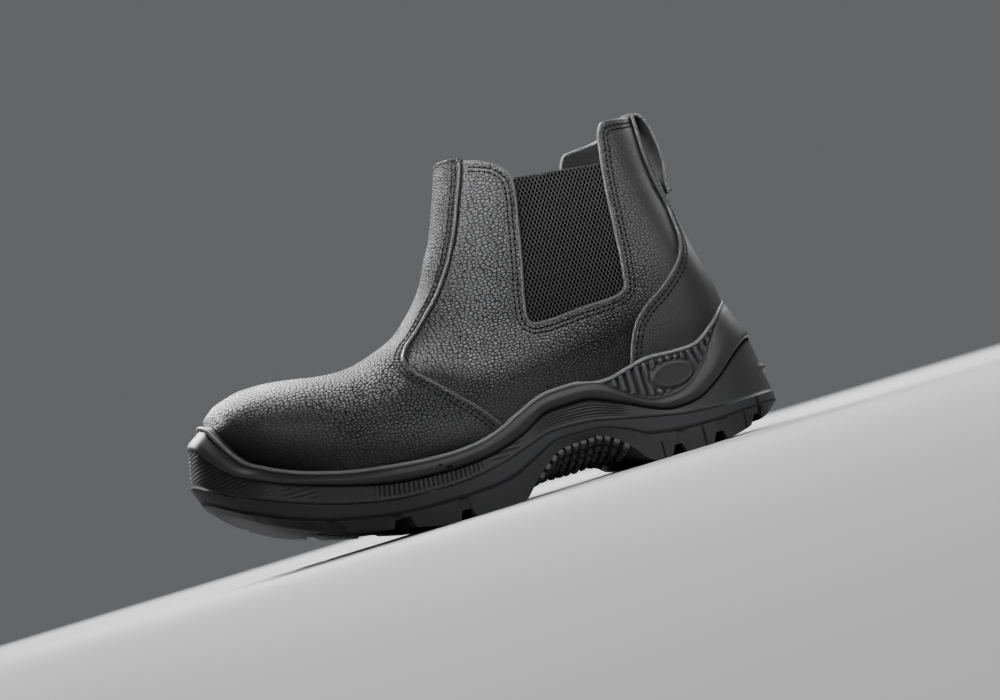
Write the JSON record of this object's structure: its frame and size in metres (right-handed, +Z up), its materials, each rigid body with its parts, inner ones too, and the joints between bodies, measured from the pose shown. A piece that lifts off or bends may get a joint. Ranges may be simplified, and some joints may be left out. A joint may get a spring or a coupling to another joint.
{
  "type": "safety boot",
  "caption": "Ankle-high slip-on safety boot with elastic side panels, a broad rounded toe, a pull loop at the heel and a deep lugged sole with a raised rim.",
  "frame": {"origin": "middle of the boot's footprint on the floor", "axes": "+X from heel to toe, +Y to the wearer's left, which is the outer side of this left boot, +Z up"},
  "size_m": [0.3016, 0.1088, 0.1773],
  "materials": {
    "outsole": "matt",
    "midsole": "matt",
    "upper_leather": "pebble grain, satin",
    "vamp_leather": "pebble grain, satin",
    "counter_leather": "fine grain, satin",
    "elastic": "ribbed weave",
    "tape": "woven tape",
    "footbed": "matt textile"
  },
  "bodies": {
    "root": {"outsole": "outsole", "midsole": "midsole", "upper": "upper_leather", "vamp": "vamp_leather", "heel_counter": "counter_leather", "gore_lateral": "elastic", "gore_medial": "elastic", "pull_loop": "tape", "insole": "footbed"}
  },
  "joints": []
}
